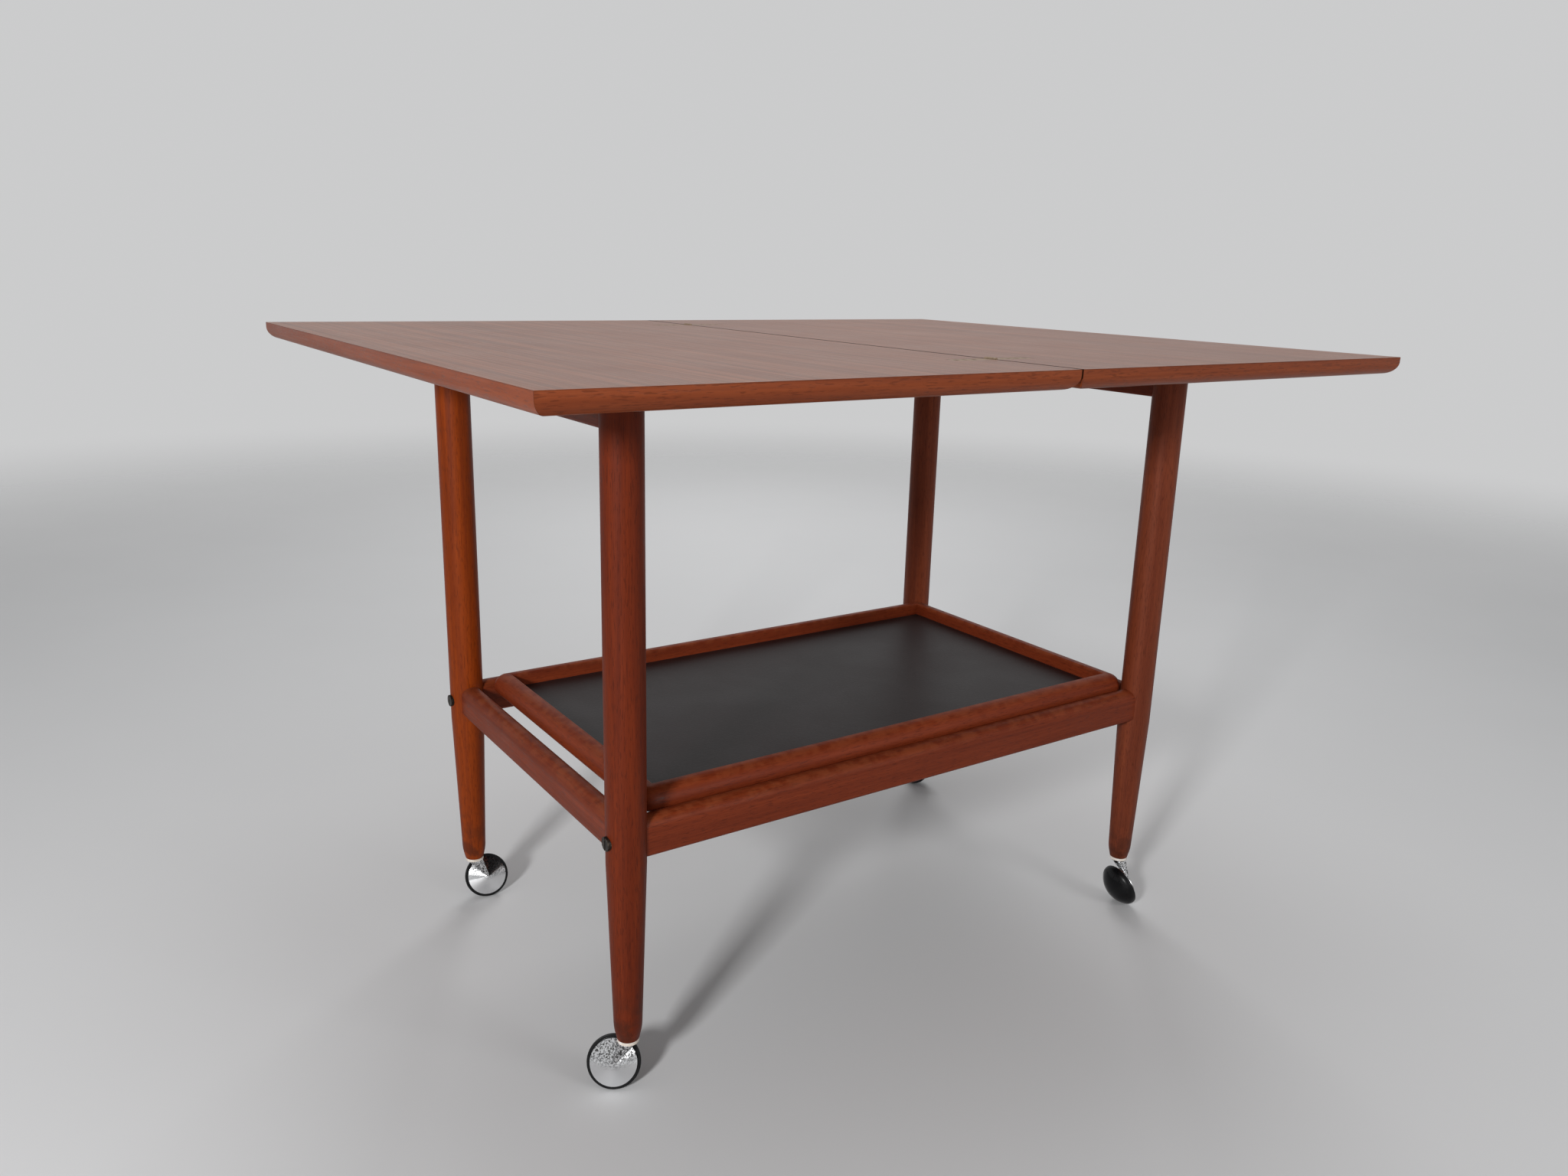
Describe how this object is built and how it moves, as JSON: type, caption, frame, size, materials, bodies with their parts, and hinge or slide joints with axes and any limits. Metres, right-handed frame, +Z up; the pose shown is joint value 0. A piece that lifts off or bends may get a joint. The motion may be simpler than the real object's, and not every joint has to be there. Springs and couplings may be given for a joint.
{
  "type": "tea trolley",
  "caption": "Teak tea trolley with a fold-over top that turns on a pivot, a lift-out tray between the stretchers, and swivelling casters under turned tapered legs.",
  "frame": {"origin": "on the floor, under the middle of the opened top", "axes": "+X along the frame's long sides towards the folding leaf, +Y towards the back, +Z up; the top is open and turned across the frame"},
  "size_m": [0.9372, 0.75, 0.6616],
  "materials": {
    "teak_frame": "satin oiled teak, grain along each piece",
    "teak_lipping": "satin oiled solid teak, grain along each strip",
    "teak_veneer": "satin oiled teak veneer, fine straight grain",
    "teak_tray": "satin oiled teak, grain along each bar",
    "beech": "plain planed beech",
    "black_laminate": "satin black laminate",
    "bronzed_steel": "dark bronzed steel",
    "plain_steel": "bright zinc plated steel",
    "dull_brass": "aged brass, slightly dulled",
    "green_felt": "pressed felt",
    "white_nylon": "aged white nylon",
    "polished_chrome": "polished chrome plate",
    "black_wheel": "glossy black moulded plastic",
    "black_tyre": "smooth black rubber"
  },
  "bodies": {
    "frame": {"leg_front_left": "teak_frame", "leg_front_right": "teak_frame", "leg_back_left": "teak_frame", "leg_back_right": "teak_frame", "end_rail_left": "teak_frame", "end_rail_right": "teak_frame", "bearer_front": "beech", "bearer_back": "beech", "long_stretcher_front": "teak_frame", "long_stretcher_back": "teak_frame", "short_stretcher_left": "teak_frame", "short_stretcher_right": "teak_frame", "tray_ledge_front": "beech", "tray_ledge_back": "beech", "stretcher_bolts": "bronzed_steel", "barrel_nuts": "plain_steel", "frame_dowels": "beech", "ledge_screws": "plain_steel", "glide_strips": "green_felt", "caster_sockets": "white_nylon", "pivot_glide_ring": "green_felt"},
    "fixed_leaf": {"fixed_leaf_panel": "teak_veneer", "fixed_leaf_lipping": "teak_lipping", "hinge_plates_fixed": "dull_brass", "hinge_pins": "dull_brass", "hinge_screws_fixed": "dull_brass", "pivot_plate": "plain_steel", "pivot_screws": "plain_steel", "pivot_washer": "plain_steel", "pivot_nut": "plain_steel"},
    "folding_leaf": {"folding_leaf_panel": "teak_veneer", "folding_leaf_lipping": "teak_lipping", "hinge_plates_folding": "dull_brass", "hinge_screws_folding": "dull_brass"},
    "tray": {"tray_bar_front": "teak_tray", "tray_bar_back": "teak_tray", "tray_bar_left": "teak_tray", "tray_bar_right": "teak_tray", "tray_panel": "black_laminate"},
    "caster_front_left": {"caster_hood_front_left": "polished_chrome", "caster_stem_front_left": "plain_steel", "caster_axle_front_left": "plain_steel"},
    "wheel_front_left": {"caster_wheel_front_left": "black_wheel", "caster_tyre_front_left": "black_tyre"},
    "caster_front_right": {"caster_hood_front_right": "polished_chrome", "caster_stem_front_right": "plain_steel", "caster_axle_front_right": "plain_steel"},
    "wheel_front_right": {"caster_wheel_front_right": "black_wheel", "caster_tyre_front_right": "black_tyre"},
    "caster_back_left": {"caster_hood_back_left": "polished_chrome", "caster_stem_back_left": "plain_steel", "caster_axle_back_left": "plain_steel"},
    "wheel_back_left": {"caster_wheel_back_left": "black_wheel", "caster_tyre_back_left": "black_tyre"},
    "caster_back_right": {"caster_hood_back_right": "polished_chrome", "caster_stem_back_right": "plain_steel", "caster_axle_back_right": "plain_steel"},
    "wheel_back_right": {"caster_wheel_back_right": "black_wheel", "caster_tyre_back_right": "black_tyre"}
  },
  "joints": [
    {"name": "top_swivel", "type": "hinge", "parent": "frame", "child": "fixed_leaf", "pos_m": [-0.1143, 0.1203, 0.643], "axis": [0, 0, 1], "range_deg": [0, 90]},
    {"name": "leaf_fold", "type": "hinge", "parent": "fixed_leaf", "child": "folding_leaf", "pos_m": [0, 0, 0.66015], "axis": [0, -1, 0], "range_deg": [0, 180]},
    {"name": "tray_lift", "type": "slide", "parent": "frame", "child": "tray", "axis": [0, 0, 1], "range_m": [0, 0.3]},
    {"name": "caster_swivel_front_left", "type": "hinge", "parent": "frame", "child": "caster_front_left", "pos_m": [-0.324, -0.199, 0.05], "axis": [0, 0, 1], "continuous": true},
    {"name": "wheel_spin_front_left", "type": "hinge", "parent": "caster_front_left", "child": "wheel_front_left", "pos_m": [-0.33312, -0.18726, 0.02452], "axis": [-0.5049, -0.7925, 0.342], "continuous": true},
    {"name": "caster_swivel_front_right", "type": "hinge", "parent": "frame", "child": "caster_front_right", "pos_m": [0.336, -0.199, 0.05], "axis": [0, 0, 1], "continuous": true},
    {"name": "wheel_spin_front_right", "type": "hinge", "parent": "caster_front_right", "child": "wheel_front_right", "pos_m": [0.32933, -0.21229, 0.02452], "axis": [0.9327, -0.1145, 0.342], "continuous": true},
    {"name": "caster_swivel_back_left", "type": "hinge", "parent": "frame", "child": "caster_back_left", "pos_m": [-0.324, 0.199, 0.05], "axis": [0, 0, 1], "continuous": true},
    {"name": "wheel_spin_back_left", "type": "hinge", "parent": "caster_back_left", "child": "wheel_back_left", "pos_m": [-0.30941, 0.20188, 0.02452], "axis": [-0.1389, -0.9294, 0.342], "continuous": true},
    {"name": "caster_swivel_back_right", "type": "hinge", "parent": "frame", "child": "caster_back_right", "pos_m": [0.336, 0.199, 0.05], "axis": [0, 0, 1], "continuous": true},
    {"name": "wheel_spin_back_right", "type": "hinge", "parent": "caster_back_right", "child": "wheel_back_right", "pos_m": [0.341, 0.185, 0.02452], "axis": [-0.9397, 0, 0.342], "continuous": true}
  ]
}
